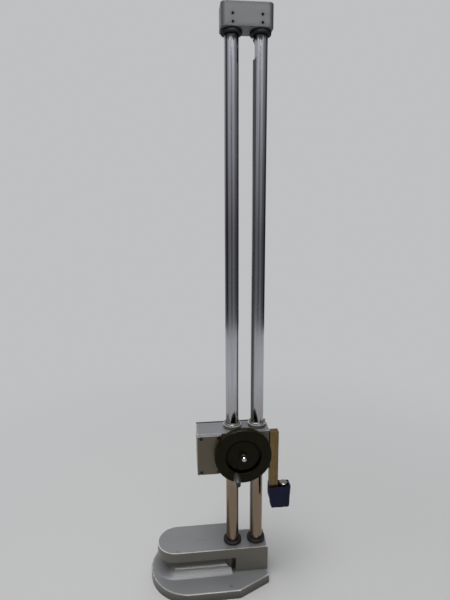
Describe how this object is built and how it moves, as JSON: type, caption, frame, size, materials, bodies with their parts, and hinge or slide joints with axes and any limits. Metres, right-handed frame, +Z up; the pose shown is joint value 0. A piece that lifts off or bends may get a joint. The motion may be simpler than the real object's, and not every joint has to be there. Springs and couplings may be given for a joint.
{
  "type": "height gauge",
  "caption": "Bench height gauge: a slider with dial, counters and a cranked hand wheel runs on a rack between double columns on a cast base.",
  "frame": {"origin": "underside of the base, midway between the two columns", "axes": "+Z up along the columns, -Y towards the side with the hand wheel, +Y towards the dial, +X towards the scriber arm"},
  "size_m": [0.2009, 0.1247, 0.7674],
  "materials": {
    "grey_paint": "satin, chipped edges",
    "ground_steel": "ground",
    "screw_steel": "black oxide",
    "chrome_plate": "polished",
    "ring_rubber": "matt",
    "gear_brass": "machined",
    "black_resin": "semi-gloss",
    "black_paint": "satin",
    "white_plastic": "matt",
    "clear_glass": "clear",
    "blue_tape": "creped paper"
  },
  "bodies": {
    "stand": {"base_casting": "grey_paint", "column_bolts": "screw_steel", "plain_column": "ground_steel", "rack_column": "ground_steel", "rack_strip": "ground_steel", "foot_rings": "ring_rubber", "head_rings": "ring_rubber", "top_bracket": "grey_paint", "bracket_set_screws": "screw_steel"},
    "slider": {"slider_housing": "grey_paint", "lower_bushes": "gear_brass", "upper_bushes": "gear_brass", "wiper_caps": "chrome_plate", "rear_cover": "grey_paint", "cover_screws": "screw_steel", "gear_cover": "grey_paint", "gear_cover_screws": "screw_steel", "transfer_stud": "ground_steel", "movement_plate": "gear_brass", "movement_pillars": "ground_steel", "movement_screws": "screw_steel", "front_panel": "black_paint", "panel_screws": "screw_steel", "dial_case": "chrome_plate", "case_screws": "screw_steel", "counter_frame": "black_resin", "counter_windows": "clear_glass", "counter_shafts": "ground_steel", "higher_drums": "white_plastic", "lock_pad": "gear_brass", "scriber_arm": "ground_steel", "arm_screws": "screw_steel", "scriber": "ground_steel", "scriber_clamp": "ground_steel", "tape_wrap": "blue_tape"},
    "hand_wheel": {"hand_wheel": "black_resin", "wheel_collar": "chrome_plate", "dome_nut": "chrome_plate", "wheel_shaft": "ground_steel", "wheel_gear": "gear_brass", "handle_pin": "screw_steel"},
    "crank_handle": {"crank_handle": "chrome_plate"},
    "pinion_arbor": {"pinion_arbor": "ground_steel", "rack_pinion": "gear_brass", "arbor_gear": "gear_brass", "dial_drive_gear": "gear_brass"},
    "transfer_wheel": {"transfer_gear": "gear_brass", "transfer_pinion": "gear_brass"},
    "pointer": {"pointer_arbor": "ground_steel", "dial_pointer": "black_paint"},
    "bezel": {"bezel_ring": "chrome_plate", "dial_face": "white_plastic", "dial_crystal": "clear_glass"},
    "up_units": {"up_units_drum": "white_plastic"},
    "down_units": {"down_units_drum": "white_plastic"},
    "up_reset": {"up_reset_button": "black_resin"},
    "down_reset": {"down_reset_button": "black_resin"},
    "slide_lock": {"lock_screw": "screw_steel", "lock_knob": "black_resin"},
    "clamp_screw": {"clamp_screw": "chrome_plate"}
  },
  "joints": [
    {"name": "slider_travel", "type": "slide", "parent": "stand", "child": "slider", "axis": [0, 0, 1], "range_m": [-0.118, 0.49]},
    {"name": "wheel_turn", "type": "hinge", "parent": "slider", "child": "hand_wheel", "pos_m": [-0.0065, 0, 0.20652], "axis": [0, 1, 0], "range_deg": [-5293, 1275.4]},
    {"name": "crank_turn", "type": "hinge", "parent": "hand_wheel", "child": "crank_handle", "pos_m": [-0.0169, -0.05, 0.18192], "axis": [0, 1, 0], "continuous": true},
    {"name": "pinion_turn", "type": "hinge", "parent": "slider", "child": "pinion_arbor", "pos_m": [0.00164, 0, 0.1977], "axis": [0, 1, 0], "range_deg": [-850.6, 3529]},
    {"name": "transfer_turn", "type": "hinge", "parent": "slider", "child": "transfer_wheel", "pos_m": [-0.01506, 0.012, 0.20443], "axis": [0, 1, 0], "range_deg": [-17641, 4249]},
    {"name": "pointer_turn", "type": "hinge", "parent": "slider", "child": "pointer", "pos_m": [-0.033, 0.022, 0.203], "axis": [0, 1, 0], "range_deg": [-21241, 88201]},
    {"name": "bezel_turn", "type": "hinge", "parent": "slider", "child": "bezel", "pos_m": [-0.033, 0.023, 0.203], "axis": [0, 1, 0], "continuous": true},
    {"name": "up_units_turn", "type": "hinge", "parent": "slider", "child": "up_units", "pos_m": [0.01, 0.0182, 0.2175], "axis": [1, 0, 0], "range_deg": [-4249, 17641]},
    {"name": "down_units_turn", "type": "hinge", "parent": "slider", "child": "down_units", "pos_m": [0.01, 0.0182, 0.204], "axis": [1, 0, 0], "range_deg": [-17641, 4249]},
    {"name": "up_reset_press", "type": "slide", "parent": "slider", "child": "up_reset", "axis": [0, -1, 0], "range_m": [0, 0.0012], "stiffness_N_per_m": 300, "springref_m": -0.0015},
    {"name": "down_reset_press", "type": "slide", "parent": "slider", "child": "down_reset", "axis": [0, -1, 0], "range_m": [0, 0.0012], "stiffness_N_per_m": 300, "springref_m": -0.0015},
    {"name": "lock_turn", "type": "hinge", "parent": "slider", "child": "slide_lock", "pos_m": [0.036, 0, 0.1932], "axis": [1, 0, 0], "range_deg": [-180, 180]},
    {"name": "clamp_screw_turn", "type": "hinge", "parent": "slider", "child": "clamp_screw", "pos_m": [0.0537, -0.017, 0.15], "axis": [0, 0, 1], "range_deg": [-30, 720]}
  ],
  "couplings": [
    {"joint": "wheel_turn", "follows": "slider_travel", "rad_per_m": -188.5},
    {"joint": "pinion_turn", "follows": "slider_travel", "rad_per_m": 125.66},
    {"joint": "transfer_turn", "follows": "slider_travel", "rad_per_m": -628.32},
    {"joint": "pointer_turn", "follows": "slider_travel", "rad_per_m": 3141.6},
    {"joint": "up_units_turn", "follows": "slider_travel", "rad_per_m": 628.32},
    {"joint": "down_units_turn", "follows": "slider_travel", "rad_per_m": -628.32}
  ]
}
